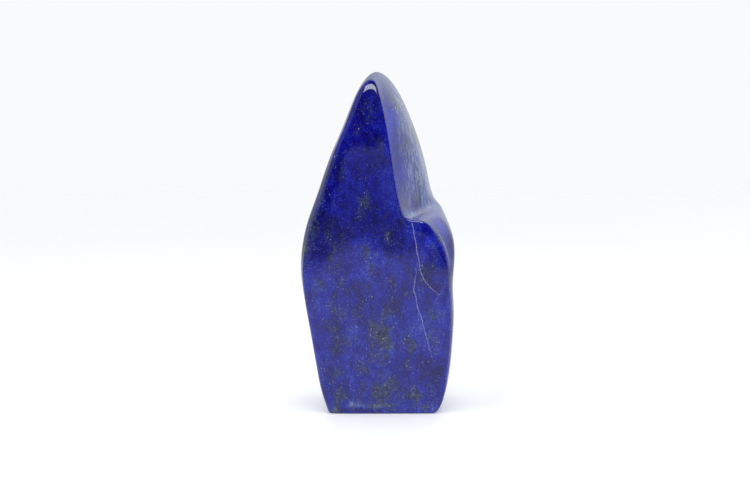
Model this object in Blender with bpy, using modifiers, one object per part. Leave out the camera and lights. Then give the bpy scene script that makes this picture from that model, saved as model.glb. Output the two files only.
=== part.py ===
"""A polished freeform of lapis lazuli, 105 mm tall, sawn flat underneath so that it stands by itself.

The stone is one piece. It is lofted through closed loops, from the middle of its flat front face, over
the crease round that face, along the sides to the widest outline, and on to the middle of its back.
The loops are a coarse cage, and a Subdivision Surface rounds it into the polished shape.
The front faces -Y, +X is to the right of it and +Z is up. The base lies at z = 0.
"""

import bmesh
import bpy
import numpy as np
from mathutils import Vector

MM = 0.001

# Driving dimensions, in millimetres.
TIP_HEIGHT = 105.0
FRONT_Y = -15.5  # rim of the front face
FRONT_CROWN = 0.6  # how far the middle of the front face stands proud of its rim
FRONT_LEAN = 4.0  # how far the front face leans back at the tip
FRONT_LEAN_FROM = 82.0  # height where it starts to lean
BACK_Y = 14.5
BACK_CROWN = 3.0
BACK_LEAN = 9.0
BACK_LEAN_FROM = 50.0
SIDE_ROUND = 14.0  # how far the turn at the widest outline runs along the sides
BACK_INSET = 5.5  # the back's rim is this much smaller than the widest outline
BACK_ROUND = 8.0
BACK_SWELL = 1.5  # how far the side swells out behind the widest outline, where that lies well forward
FULL_SWELL_Y = 9.0  # how far forward the widest outline lies where the swell is full
NO_SWELL_BELOW = 2.0  # the sides run straight down to the sawn base
LONGEST_TURN = 0.45  # no turn takes up more than this share of the way to the next one
FACE_CENTRE = (-1.0, 50.0)
FACE_REACH = (24.0, 55.0)  # from the centre of a face to its sides and to its top
FACE_RINGS = (0.05, 0.35, 0.65, 0.88)  # sizes of the loops on a face, as shares of its flat part
SUBDIVISION = 1

# Each row is one place on the way round the stone:
# - the crease of the front face (x, z), and how far it drops behind the plane of that face
# - the widest outline (x, z) and its depth y
# - how wide the front face rolls over towards that crease, and how far the roll runs on down the side
# - how far the side swells out between the two
LEFT_SIDE = [
    (-16.2, 0.0, 0.0, -17.0, 0.0, -9.0, 2.0, 1.0, 0.0),
    (-16.6, 1.6, 0.2, -17.4, 1.6, -9.0, 3.0, 1.5, 0.0),
    (-18.7, 7.0, 0.3, -19.2, 7.0, -9.0, 4.5, 2.5, 0.0),
    (-20.4, 17.0, 0.3, -20.9, 17.5, -9.0, 4.5, 2.5, 0.0),
    (-22.1, 27.0, 0.3, -22.6, 27.5, -9.0, 4.5, 2.5, 0.0),
    (-23.8, 37.0, 0.3, -24.4, 37.0, -9.0, 4.5, 2.5, 0.0),
    (-24.5, 45.0, 0.4, -25.5, 45.0, -10.0, 6.0, 2.0, 0.0),
    (-22.9, 53.0, 0.5, -24.8, 53.0, -11.0, 8.0, 1.2, 0.0),
    (-21.0, 60.5, 0.5, -23.0, 60.5, -11.5, 8.0, 1.2, 0.0),
    (-17.4, 69.5, 0.5, -19.4, 69.5, -11.5, 8.0, 1.2, 0.0),
    (-15.2, 80.0, 0.6, -16.1, 79.8, -11.0, 6.0, 1.2, 0.0),
    (-10.7, 90.0, 0.6, -11.2, 90.0, -9.0, 4.5, 1.2, 0.0),
]
TIP = [
    (-7.9, 98.6, 0.8, -8.2, 98.8, -4.0, 3.5, 1.2, 0.0),
    (-5.4, 102.6, 1.3, -4.7, 104.0, 0.0, 3.0, 1.5, 0.3),
    (-2.8, 103.9, 1.6, -1.9, 106.2, 1.5, 3.0, 1.5, 0.6),
    (-1.2, 102.2, 1.4, 0.7, 105.3, 2.5, 3.0, 1.2, 1.2),
    (-0.4, 98.6, 0.6, 3.2, 103.3, 3.0, 3.0, 1.1, 1.8),
]
RIGHT_FLANK = [
    (0.6, 94.6, 0.2, 6.2, 98.7, 4.5, 3.0, 1.1, 2.8),
    (1.7, 88.5, 0.0, 9.9, 90.2, 7.5, 3.0, 1.1, 3.7),
    (2.8, 81.5, 0.0, 13.2, 81.5, 10.0, 3.0, 1.1, 4.0),
    (3.8, 74.5, 0.0, 15.4, 73.2, 11.5, 3.0, 1.1, 3.8),
    (4.7, 68.8, 0.0, 16.6, 67.8, 12.0, 3.5, 1.1, 2.8),
]
SHOULDER = [
    (5.6, 64.6, 0.0, 17.9, 65.4, 12.0, 4.0, 1.1, 1.6),
    (6.6, 61.3, 0.0, 19.1, 64.1, 11.5, 5.0, 1.1, 0.4),
    (9.0, 60.5, 0.2, 20.2, 62.9, 11.0, 6.0, 1.4, 0.8),
    (12.2, 60.6, 0.4, 21.0, 60.9, 9.5, 5.5, 1.8, 1.4),
    (14.6, 59.4, 0.5, 21.8, 58.3, 7.0, 4.5, 3.0, 1.6),
    (17.0, 57.0, 0.5, 23.1, 54.9, 4.0, 4.5, 4.5, 1.4),
    (19.3, 53.2, 0.4, 23.9, 50.9, 0.0, 5.0, 5.5, 1.0),
]
RIGHT_SIDE = [
    (21.2, 47.0, 0.3, 23.5, 46.0, -3.0, 5.5, 4.5, 0.2),
    (21.2, 39.0, 0.3, 22.7, 39.0, -5.0, 6.0, 3.5, 0.0),
    (22.1, 29.0, 0.3, 23.4, 29.5, -7.0, 6.0, 3.5, 0.0),
    (21.3, 19.0, 0.3, 22.5, 19.5, -8.0, 5.5, 3.0, 0.0),
    (20.7, 10.5, 0.3, 21.7, 10.5, -9.0, 5.0, 3.0, 0.0),
    (19.0, 2.5, 0.2, 19.6, 2.5, -9.0, 3.5, 1.5, 0.0),
    (16.9, 0.0, 0.0, 17.7, 0.0, -9.0, 2.0, 1.0, 0.0),
]
BASE = [
    (15.0, 0.0, 0.0, 16.5, 0.0, -9.0, 2.0, 1.0, 0.0),
    (5.5, 0.0, 0.0, 6.0, 0.0, -9.0, 2.0, 1.0, 0.0),
    (-5.0, 0.0, 0.0, -5.5, 0.0, -9.0, 2.0, 1.0, 0.0),
    (-14.0, 0.0, 0.0, -15.5, 0.0, -9.0, 2.0, 1.0, 0.0),
]
STATIONS = LEFT_SIDE + TIP + RIGHT_FLANK + SHOULDER + RIGHT_SIDE + BASE


def clear_scene():
    for obj in list(bpy.data.objects):
        bpy.data.objects.remove(obj, do_unlink=True)


def face_y(x, z, rim_y, crown, lean, lean_from):
    """Depth of a face: a low crown over its middle, and a smooth lean of its top towards the other face."""
    across = (x - FACE_CENTRE[0]) / FACE_REACH[0]
    along = (z - FACE_CENTRE[1]) / FACE_REACH[1]
    rise = np.clip((z - lean_from) / (TIP_HEIGHT - lean_from), 0.0, 1.0)
    return rim_y + crown * (1.0 - across**2 - along**2) + lean * rise**2


def on_front(x, z):
    y = face_y(x, z, FRONT_Y, -FRONT_CROWN, FRONT_LEAN, FRONT_LEAN_FROM)
    return np.stack([x, y, z], axis=-1)


def on_back(x, z):
    y = face_y(x, z, BACK_Y, BACK_CROWN, -BACK_LEAN, BACK_LEAN_FROM)
    return np.stack([x, y, z], axis=-1)


def rings(edge, on_face):
    """Loops on a face: the outline of its flat part, drawn smaller and smaller about the face's centre."""
    centre = np.array(FACE_CENTRE)
    outlines = [centre + (edge[:, [0, 2]] - centre) * size for size in FACE_RINGS]
    return [on_face(outline[:, 0], outline[:, 1]) for outline in outlines]


def towards(start, goal, distance):
    """Each start point moved by a distance towards its goal, at most by the share LONGEST_TURN."""
    step = goal - start
    length = np.linalg.norm(step, axis=1, keepdims=True)
    return start + step * np.minimum(np.reshape(distance, (-1, 1)) / length, LONGEST_TURN)


def inside(rim, distance, on_face):
    """The edge of a face's flat part, which lies a distance inside its rim."""
    centre = on_face(*np.array(FACE_CENTRE))
    edge = towards(rim, centre, distance)
    return on_face(edge[:, 0], edge[:, 2])


def swollen(loop, front, back, distance):
    """The loop moved out of the side that runs from the front loop to the back loop."""
    way_round = np.roll(front, -1, axis=0) - np.roll(front, 1, axis=0)
    out = np.cross(way_round, back - front)
    out /= np.linalg.norm(out, axis=1, keepdims=True)
    return loop + distance[:, None] * out


def cage_loops():
    """The loops in order, from the middle of the front face to the middle of the back, in millimetres."""
    front_x, front_z, drop, wide_x, wide_z, wide_y, roll, edge_round, swell = np.array(STATIONS).T
    crease = on_front(front_x, front_z)
    crease[:, 1] += drop
    widest = np.stack([wide_x, wide_y, wide_z], axis=-1)

    offset = widest[:, [0, 2]] - FACE_CENTRE
    inset = BACK_INSET * offset / np.linalg.norm(offset, axis=1, keepdims=True)
    rim_x = wide_x - inset[:, 0]
    rim_z = np.where(wide_z == 0.0, 0.0, wide_z - inset[:, 1])
    rim = on_back(rim_x, rim_z)
    back_swell = BACK_SWELL * np.clip(-wide_y / FULL_SWELL_Y, 0.0, 1.0)
    back_swell[wide_z < NO_SWELL_BELOW] = 0.0

    front_edge = inside(crease, roll, on_front)
    back_edge = inside(rim, BACK_ROUND, on_back)
    return [
        *rings(front_edge, on_front),
        front_edge,
        crease,
        towards(crease, widest, edge_round),
        swollen(towards(widest, crease, SIDE_ROUND), crease, widest, swell),
        widest,
        swollen(towards(widest, rim, SIDE_ROUND), widest, rim, back_swell),
        towards(rim, widest, BACK_ROUND),
        rim,
        back_edge,
        *reversed(rings(back_edge, on_back)),
    ]


def loft(loops):
    """A closed cage: neighbouring loops are joined by quads, and one face closes each end."""
    cage = bmesh.new()
    rows = [[cage.verts.new(Vector(point) * MM) for point in loop] for loop in loops]
    for row, next_row in zip(rows, rows[1:]):
        for index in range(len(row)):
            after = (index + 1) % len(row)
            cage.faces.new((row[index], row[after], next_row[after], next_row[index]))
    cage.faces.new(reversed(rows[0]))
    cage.faces.new(rows[-1])
    bmesh.ops.recalc_face_normals(cage, faces=cage.faces)
    mesh = bpy.data.meshes.new("lapis_stone")
    cage.to_mesh(mesh)
    cage.free()
    mesh.shade_smooth()
    return mesh


def lapis():
    """Polished lapis lazuli: a deep ultramarine stone with a wax-like gloss."""
    material = bpy.data.materials.new("polished lapis lazuli")
    material.use_nodes = True
    shader = material.node_tree.nodes["Principled BSDF"]
    shader.inputs["Base Color"].default_value = (0.016, 0.014, 0.190, 1.0)
    shader.inputs["Roughness"].default_value = 0.15
    shader.inputs["Metallic"].default_value = 0.0
    return material


def centre_over_origin(obj):
    """Moves the mesh sideways until the middle of the finished stone's box is on the Z axis."""
    graph = bpy.context.evaluated_depsgraph_get()
    corners = np.array(obj.evaluated_get(graph).bound_box)
    middle = (corners.min(axis=0) + corners.max(axis=0)) / 2
    for vertex in obj.data.vertices:
        vertex.co.x -= middle[0]
        vertex.co.y -= middle[1]


def build_stone(collection):
    stone = bpy.data.objects.new("lapis_stone", loft(cage_loops()))
    collection.objects.link(stone)
    stone.data.materials.append(lapis())
    rounding = stone.modifiers.new("polished round", "SUBSURF")
    rounding.levels = SUBDIVISION
    rounding.render_levels = SUBDIVISION
    centre_over_origin(stone)
    return stone


def main():
    clear_scene()
    collection = bpy.data.collections.new("lapis lazuli freeform")
    bpy.context.scene.collection.children.link(collection)
    build_stone(collection)


main()
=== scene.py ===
# %% [markdown]
# # A polished freeform of lapis lazuli
#
# The object is one stone, about 105 mm tall. A cutter saws a rough piece, grinds it to a free shape and
# polishes it until it shines. It has a flat front, a rounded back, a long flank on the right of the tip
# with a step under it, and a sawn base on which it stands.
#
# In Blender it is one closed surface and one material. The looks come from three things: the rounding of
# the edges, the mixture of minerals in the stone, and what the polish mirrors. A few pale marks in the
# colour are painted light instead: a brighter flank, painted highlights and painted reflections.

import bpy
import numpy as np
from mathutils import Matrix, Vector


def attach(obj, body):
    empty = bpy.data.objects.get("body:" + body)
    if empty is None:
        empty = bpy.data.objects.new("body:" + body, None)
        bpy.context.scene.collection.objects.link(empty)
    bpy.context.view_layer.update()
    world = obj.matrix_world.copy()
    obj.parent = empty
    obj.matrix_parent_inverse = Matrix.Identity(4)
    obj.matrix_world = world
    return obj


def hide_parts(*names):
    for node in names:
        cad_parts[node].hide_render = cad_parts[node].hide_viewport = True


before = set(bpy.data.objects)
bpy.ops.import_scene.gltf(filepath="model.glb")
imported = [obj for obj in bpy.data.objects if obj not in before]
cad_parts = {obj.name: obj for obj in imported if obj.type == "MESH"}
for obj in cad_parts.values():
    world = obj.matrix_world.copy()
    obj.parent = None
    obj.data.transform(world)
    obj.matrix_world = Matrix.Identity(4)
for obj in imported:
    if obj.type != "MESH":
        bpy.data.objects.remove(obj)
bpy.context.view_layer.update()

# %% [markdown]
# ## Units
#
# The frame is in metres, and a stone of this size is easier to think about in millimetres. So every place
# below is in millimetres, in the frame of the part: the front faces -Y, +X is to its right, +Z is up and
# the base is at z = 0. One factor turns them to metres when a mesh is made.

# %% Units
MM = 0.001


def as_points(*columns):
    """One array of points (x, y, z) from three arrays of numbers."""
    return np.stack(np.broadcast_arrays(*columns), axis=-1).astype(float)


def put(name, data):
    """A new object in the scene, at the origin, that shows a mesh, a lamp or a camera."""
    obj = bpy.data.objects.new(name, data)
    bpy.context.scene.collection.objects.link(obj)
    return obj


# %% [markdown]
# ## The net of the stone
#
# The stone could be sculpted, or cut from a block with modifiers. Here it is a net of guide points
# instead, because each row of the table is then one real place on the edge of the stone, and moving one
# number moves that place alone.
#
# Each row goes from the front of the stone to its side:
# - the crease round the front face (x, z), and how far it lies behind the plane of that face
# - the widest outline (x, z) and its depth y
# - how wide the front face rolls over towards the crease, and how far the roll runs on down the side
# - how far the side swells out between the two
# The rows go round the stone clockwise, as seen from the front, from the lower left corner.

# %% Places on the edge of the stone
LEFT_SIDE = [
    (-16.2, 0.0, 0.0, -17.0, 0.0, -9.0, 2.0, 1.0, 0.0),
    (-16.6, 1.6, 0.2, -17.4, 1.6, -9.0, 3.0, 1.5, 0.0),
    (-18.7, 7.0, 0.3, -19.2, 7.0, -9.0, 4.5, 2.5, 0.0),
    (-20.4, 17.0, 0.3, -20.9, 17.5, -9.0, 4.5, 2.5, 0.0),
    (-22.1, 27.0, 0.3, -22.6, 27.5, -9.0, 4.5, 2.5, 0.0),
    (-23.8, 37.0, 0.3, -24.4, 37.0, -9.0, 4.5, 2.5, 0.0),
    (-24.5, 45.0, 0.4, -25.5, 45.0, -10.0, 6.0, 2.0, 0.0),
    (-22.9, 53.0, 0.5, -24.8, 53.0, -11.0, 8.0, 1.2, 0.0),
    (-21.0, 60.5, 0.5, -23.0, 60.5, -11.5, 8.0, 1.2, 0.0),
    (-17.4, 69.5, 0.5, -19.4, 69.5, -11.5, 8.0, 1.2, 0.0),
    (-15.2, 80.0, 0.6, -16.1, 79.8, -11.0, 6.0, 1.2, 0.0),
    (-10.7, 90.0, 0.6, -11.2, 90.0, -9.0, 4.5, 1.2, 0.0),
]
TIP = [
    (-7.9, 98.6, 0.8, -8.2, 98.8, -4.0, 3.5, 1.2, 0.0),
    (-5.4, 102.6, 1.3, -4.7, 104.0, 0.0, 3.0, 1.5, 0.3),
    (-2.8, 103.9, 1.6, -1.9, 106.2, 1.5, 3.0, 1.5, 0.6),
    (-1.2, 102.2, 1.4, 0.7, 105.3, 2.5, 3.0, 1.2, 1.2),
    (-0.4, 98.6, 0.6, 3.2, 103.3, 3.0, 3.0, 1.1, 1.8),
]
RIGHT_FLANK = [
    (0.6, 94.6, 0.2, 6.2, 98.7, 4.5, 3.0, 1.1, 2.8),
    (1.7, 88.5, 0.0, 9.9, 90.2, 7.5, 3.0, 1.1, 3.7),
    (2.8, 81.5, 0.0, 13.2, 81.5, 10.0, 3.0, 1.1, 4.0),
    (3.8, 74.5, 0.0, 15.4, 73.2, 11.5, 3.0, 1.1, 3.8),
    (4.7, 68.8, 0.0, 16.6, 67.8, 12.0, 3.5, 1.1, 2.8),
]
SHOULDER = [
    (5.6, 64.6, 0.0, 17.9, 65.4, 12.0, 4.0, 1.1, 1.6),
    (6.6, 61.3, 0.0, 19.1, 64.1, 11.5, 5.0, 1.1, 0.4),
    (9.0, 60.5, 0.2, 20.2, 62.9, 11.0, 6.0, 1.4, 0.8),
    (12.2, 60.6, 0.4, 21.0, 60.9, 9.5, 5.5, 1.8, 1.4),
    (14.6, 59.4, 0.5, 21.8, 58.3, 7.0, 4.5, 3.0, 1.6),
    (17.0, 57.0, 0.5, 23.1, 54.9, 4.0, 4.5, 4.5, 1.4),
    (19.3, 53.2, 0.4, 23.9, 50.9, 0.0, 5.0, 5.5, 1.0),
]
RIGHT_SIDE = [
    (21.2, 47.0, 0.3, 23.5, 46.0, -3.0, 5.5, 4.5, 0.2),
    (21.2, 39.0, 0.3, 22.7, 39.0, -5.0, 6.0, 3.5, 0.0),
    (22.1, 29.0, 0.3, 23.4, 29.5, -7.0, 6.0, 3.5, 0.0),
    (21.3, 19.0, 0.3, 22.5, 19.5, -8.0, 5.5, 3.0, 0.0),
    (20.7, 10.5, 0.3, 21.7, 10.5, -9.0, 5.0, 3.0, 0.0),
    (19.0, 2.5, 0.2, 19.6, 2.5, -9.0, 3.5, 1.5, 0.0),
    (16.9, 0.0, 0.0, 17.7, 0.0, -9.0, 2.0, 1.0, 0.0),
]
BASE = [
    (15.0, 0.0, 0.0, 16.5, 0.0, -9.0, 2.0, 1.0, 0.0),
    (5.5, 0.0, 0.0, 6.0, 0.0, -9.0, 2.0, 1.0, 0.0),
    (-5.0, 0.0, 0.0, -5.5, 0.0, -9.0, 2.0, 1.0, 0.0),
    (-14.0, 0.0, 0.0, -15.5, 0.0, -9.0, 2.0, 1.0, 0.0),
]
edge_places = np.array(LEFT_SIDE + TIP + RIGHT_FLANK + SHOULDER + RIGHT_SIDE + BASE)
print("places on the edge:", len(edge_places))

# %% [markdown]
# The two broad faces are almost flat. Each is a low crown, and its top leans towards the other face, the
# back much more than the front. A polished stone has no true plane, and this small crown is what makes
# the mirror image on the front end in an arch.

# %% The front and back faces
TIP_HEIGHT = 105.0
FACE_CENTRE = np.array([-1.0, 50.0])
FACE_REACH = (24.0, 55.0)  # from the centre of a face to its sides and to its top


def face_depth(x, z, rim, crown, lean, lean_from):
    """y = rim + crown (1 - across^2 - along^2) + lean rise^2, where rise goes from 0 to 1 at the tip."""
    across = (x - FACE_CENTRE[0]) / FACE_REACH[0]
    along = (z - FACE_CENTRE[1]) / FACE_REACH[1]
    rise = np.clip((z - lean_from) / (TIP_HEIGHT - lean_from), 0.0, 1.0)
    return rim + crown * (1.0 - across**2 - along**2) + lean * rise**2


def on_front(x, z):
    """Points on the front face: it bulges by 0.6 mm and leans back by 4 mm at the tip."""
    return as_points(x, face_depth(x, z, rim=-15.5, crown=-0.6, lean=4.0, lean_from=82.0), z)


def on_back(x, z):
    """Points on the back: it bulges by 3 mm and leans forward by 9 mm at the tip."""
    return as_points(x, face_depth(x, z, rim=14.5, crown=3.0, lean=-9.0, lean_from=50.0), z)


print("front and back at the centre:", on_front(*FACE_CENTRE), on_back(*FACE_CENTRE))

# %% [markdown]
# Now the net itself: rings of guide points from the middle of the front, over the crease, along the sides
# to the widest outline, and on to the middle of the back. Two rings close together make a tight edge, such
# as the crease, and rings far apart make a soft turn, such as the sides.

# %% The rings of guide points
FACE_RINGS = (-0.35, 0.0, 0.35, 0.65, 0.88)  # shares of the face's flat part; the first is past the middle
SIDE_ROUND = 14.0  # how far the turn at the widest outline runs along the sides
BACK_INSET = 5.5  # the back's rim is this much smaller than the widest outline
BACK_ROUND = 8.0
BACK_SWELL = 1.5  # how far the side swells out behind the widest outline, where that lies well forward
FULL_SWELL_Y = 9.0  # how far forward the widest outline lies where the swell is full
NO_SWELL_BELOW = 2.0  # the sides run straight down to the sawn base
LONGEST_TURN = 0.45  # no turn takes up more than this share of the way to the next one


def towards(start, goal, distance):
    """start + distance along the straight line to goal, and never more than LONGEST_TURN of the way."""
    step = goal - start
    length = np.linalg.norm(step, axis=1, keepdims=True)
    return start + step * np.minimum(np.reshape(distance, (-1, 1)) / length, LONGEST_TURN)


def face_rings(edge, on_face):
    """The outline of the face's flat part, scaled about the face's centre once for each ring."""
    outlines = [FACE_CENTRE + (edge[:, [0, 2]] - FACE_CENTRE) * share for share in FACE_RINGS]
    return [on_face(outline[:, 0], outline[:, 1]) for outline in outlines]


def flat_edge(rim, distance, on_face):
    """The rim of a face moved inwards by a distance, and set back on the face."""
    inner = towards(rim, on_face(*FACE_CENTRE), distance)
    return on_face(inner[:, 0], inner[:, 2])


def out_of_side(crease, widest):
    """Unit vectors out of the side: the way round the stone crossed with the way from front to back."""
    way_round = np.roll(crease, -1, axis=0) - np.roll(crease, 1, axis=0)
    out = np.cross(way_round, widest - crease)
    return out / np.linalg.norm(out, axis=1, keepdims=True)


def stone_net():
    """All rings in order, as an array (ring, place, xyz)."""
    crease_x, crease_z, drop, wide_x, wide_z, wide_y, roll, edge_round, swell = edge_places.T
    crease = on_front(crease_x, crease_z) + as_points(0.0, drop, 0.0)
    widest = as_points(wide_x, wide_y, wide_z)
    offset = widest[:, [0, 2]] - FACE_CENTRE
    inset = BACK_INSET * offset / np.linalg.norm(offset, axis=1, keepdims=True)
    rim = on_back(wide_x - inset[:, 0], np.where(wide_z == 0.0, 0.0, wide_z - inset[:, 1]))
    front_edge = flat_edge(crease, roll, on_front)
    back_edge = flat_edge(rim, BACK_ROUND, on_back)
    swelling = swell[:, None] * out_of_side(crease, widest)
    forward = np.clip(-wide_y / FULL_SWELL_Y, 0.0, 1.0)
    back_swell = BACK_SWELL * np.where(wide_z < NO_SWELL_BELOW, 0.0, forward)
    sides = [
        front_edge,
        crease,
        towards(crease, widest, edge_round),
        towards(widest, crease, SIDE_ROUND) + swelling,
        widest,
        towards(widest, rim, SIDE_ROUND) + back_swell[:, None] * out_of_side(widest, rim),
        towards(rim, widest, BACK_ROUND),
        rim,
        back_edge,
    ]
    return np.array(face_rings(front_edge, on_front) + sides + face_rings(back_edge, on_back)[::-1])


net = stone_net()
print("net of guide points:", net.shape)

# %% [markdown]
# A uniform cubic B-spline turns the net into a smooth skin. It is the surface that a Subdivision Surface
# modifier would approach after endless levels, so the finished stone agrees with the CAD solid, but here it
# can be sampled as finely as the polish needs: a mirror shows every flat triangle.

# %% The smooth skin
COLUMNS_PER_PLACE = 12
ROWS_PER_RING = 12


def spline_shares(where, count):
    """Each point of a cubic B-spline is a mean of four guide points. With t from 0 to 1 between two of
    them, their shares are (1-t)^3, 3t^3 - 6t^2 + 4, -3t^3 + 3t^2 + 3t + 1 and t^3, all over 6."""
    span = np.floor(where).astype(int)
    t = where - span
    shares = np.stack([(1 - t) ** 3, 3 * t**3 - 6 * t**2 + 4, -3 * t**3 + 3 * t**2 + 3 * t + 1, t**3])
    table = np.zeros((len(where), count))
    guide = (span[:, None] + np.arange(-1, 3)) % count
    np.add.at(table, (np.arange(len(where))[:, None], guide), shares.T / 6)
    return table


def skin(guide_points, rows_per_ring, columns_per_place):
    """Points (row, column, xyz) of the skin: the shares across the rings times those round the stone."""
    rings, places = guide_points.shape[:2]
    rows = np.linspace(1, rings - 2, (rings - 3) * rows_per_ring + 1)
    columns = np.arange(places * columns_per_place) / columns_per_place
    return np.einsum(
        "ri,cj,ijk->rck", spline_shares(rows, rings), spline_shares(columns, places), guide_points
    )


stone_points = skin(net, ROWS_PER_RING, COLUMNS_PER_PLACE)
print("skin of points:", stone_points.shape)

# %% [markdown]
# Hand polishing leaves a faint waviness, a few hundredths of a millimetre deep. It is far too small to see
# as shape, but it bends the mirror images a little, and without it the stone looks like glass from a
# mould. It is a sum of a few long sine waves, laid along the normals. It dies away at the base, which
# was ground flat.

# %% The waviness of the polish
CALM_BELOW = 6.0  # the waves grow to their full depth over this height above the base
WAVES = [  # length in mm, direction, depth in mm
    (17.0, (0.8, 0.3, 0.5), 0.014),
    (11.0, (-0.5, 0.2, 0.8), 0.010),
    (8.0, (0.3, 0.9, -0.3), 0.006),
    (23.0, (0.2, -0.6, 0.8), 0.020),
]


def normals(points):
    """The cross product of the two directions in which the grid runs, made one long."""
    along_columns = np.roll(points, -1, axis=1) - np.roll(points, 1, axis=1)
    across = np.cross(along_columns, np.gradient(points, axis=0))
    return across / np.maximum(np.linalg.norm(across, axis=-1, keepdims=True), 1e-9)


def waviness(points):
    """The sum of depth * sin(2 pi * place along the direction / length), faded in above the base."""
    height = np.zeros(points.shape[:-1])
    for length, direction, depth in WAVES:
        unit = np.array(direction) / np.linalg.norm(direction)
        height += depth * np.sin(2 * np.pi * (points @ unit) / length)
    return height * np.clip(points[..., 2] / CALM_BELOW, 0.0, 1.0)


outward = normals(stone_points)
stone_points += outward * waviness(stone_points)[..., None]
corners = stone_points.reshape(-1, 3)
middle = (corners.min(axis=0) + corners.max(axis=0)) / 2
stone_points -= (middle[0], middle[1], 0.0)
print("size of the stone in mm:", np.ptp(corners, axis=0).round(2))

# %% [markdown]
# The grid becomes a mesh. Each row is a closed loop, so its last column joins its first. The first and
# last rows have shrunk to a point, the pole, and a fan of triangles closes each of them.

# %% The mesh of the stone


def closed_mesh(name, points):
    """A mesh from rows of points: quads between neighbouring rows, and a fan at each of the two poles."""
    rows, columns = points.shape[0] - 2, points.shape[1]
    places = np.concatenate([points[1:-1].reshape(-1, 3), points[[0, -1], 0]])
    index = np.arange(rows * columns).reshape(rows, columns)
    after = np.roll(index, -1, axis=1)
    quads = np.stack([index[:-1], after[:-1], after[1:], index[1:]], axis=-1).reshape(-1, 4)
    first, last = rows * columns, rows * columns + 1
    front_fan = np.stack([np.full(columns, first), after[0], index[0]], axis=-1)
    back_fan = np.stack([np.full(columns, last), index[-1], after[-1]], axis=-1)
    mesh = bpy.data.meshes.new(name)
    mesh.from_pydata(places * MM, [], quads.tolist() + front_fan.tolist() + back_fan.tolist())
    mesh.shade_smooth()
    return mesh, places


def faces_outwards(mesh):
    """True if the volume that the faces enclose is positive."""
    mesh.calc_loop_triangles()
    triangles = np.empty(len(mesh.loop_triangles) * 3, int)
    mesh.loop_triangles.foreach_get("vertices", triangles)
    places = np.empty(len(mesh.vertices) * 3)
    mesh.vertices.foreach_get("co", places)
    corner = places.reshape(-1, 3)[triangles.reshape(-1, 3)]
    return np.linalg.det(corner).sum() > 0


stone_mesh, stone_places = closed_mesh("lapis stone", stone_points)
if not faces_outwards(stone_mesh):
    stone_mesh.flip_normals()
stone = put("polished_lapis_stone", stone_mesh)
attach(stone, "root")
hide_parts("lapis_stone")
print("stone:", len(stone_mesh.vertices), "vertices, faces outwards:", faces_outwards(stone_mesh))

# %% [markdown]
# ## Marks that have a place
#
# Most of the stone's pattern can be left to noise, but some marks have their place: the cloudy grey-green
# patches where other minerals gather, paler and deeper places in the blue, the streaks of calcite along the
# flank, the places of almost pure blue, and the crack that runs down from the step. Some pale places and
# streaks are painted light instead: the flank made paler as if lit from the right behind, painted
# reflections on the top of the shoulder and the rim of the tip, and painted highlights on the lip of the
# step and the lower left corner. They are worked out here at every vertex, in millimetres, and the
# material reads them as attributes.
#
# Each mark is a soft ball or a spindle inside the stone, so it also shows where it comes out on a side.

# %% Patches, pale places, streaks, painted light and pure blue
FRONT_FACE_Y = -16.8  # depth of the front face, once the stone stands centred
PATCH_DEPTH = 7.0
PATCHES = [  # centre (x, z) and reach (x, z) in mm, strength; they lie at the front face
    (-3.6, 51.0, 1.3, 2.4, 1.0),
    (-4.4, 65.7, 2.3, 2.4, 0.9),
    (2.8, 55.6, 1.0, 2.6, 0.7),
    (-17.5, 40.8, 1.1, 2.0, 0.9),
    (4.1, 41.9, 1.6, 2.4, 0.8),
    (1.3, 22.5, 3.8, 4.4, 0.9),
    (-2.1, 27.8, 1.6, 3.4, 0.8),
    (-9.8, 23.1, 2.6, 2.2, 0.7),
    (-3.3, 94.6, 1.8, 3.4, 0.7),
    (-6.3, 88.2, 1.4, 1.8, 0.8),
    (-11.6, 76.0, 1.6, 3.0, 0.6),
    (-5.5, 15.2, 2.4, 3.0, 0.7),
    (4.7, 9.9, 2.0, 3.0, 0.7),
    (10.0, 5.7, 3.0, 1.6, 0.6),
    (-17.3, 28.8, 1.8, 2.2, 0.6),
    (22.6, 41.0, 1.4, 2.4, 1.0),
    (18.9, 31.0, 3.0, 1.2, 0.8),
    (-20.5, 60.6, 3.0, 7.0, 1.0),
    (-10.2, 5.7, 2.4, 1.8, 0.5),
    (-17.6, 70.0, 1.3, 4.5, 0.8),
    (-13.6, 82.0, 1.0, 5.0, 0.6),
    (-22.6, 52.0, 1.4, 4.0, 0.8),
    (-12.0, 33.0, 2.0, 1.6, 0.5),
    (9.0, 16.0, 1.6, 2.2, 0.6),
    (2.0, 7.0, 15.0, 6.5, 0.42),
]
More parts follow.
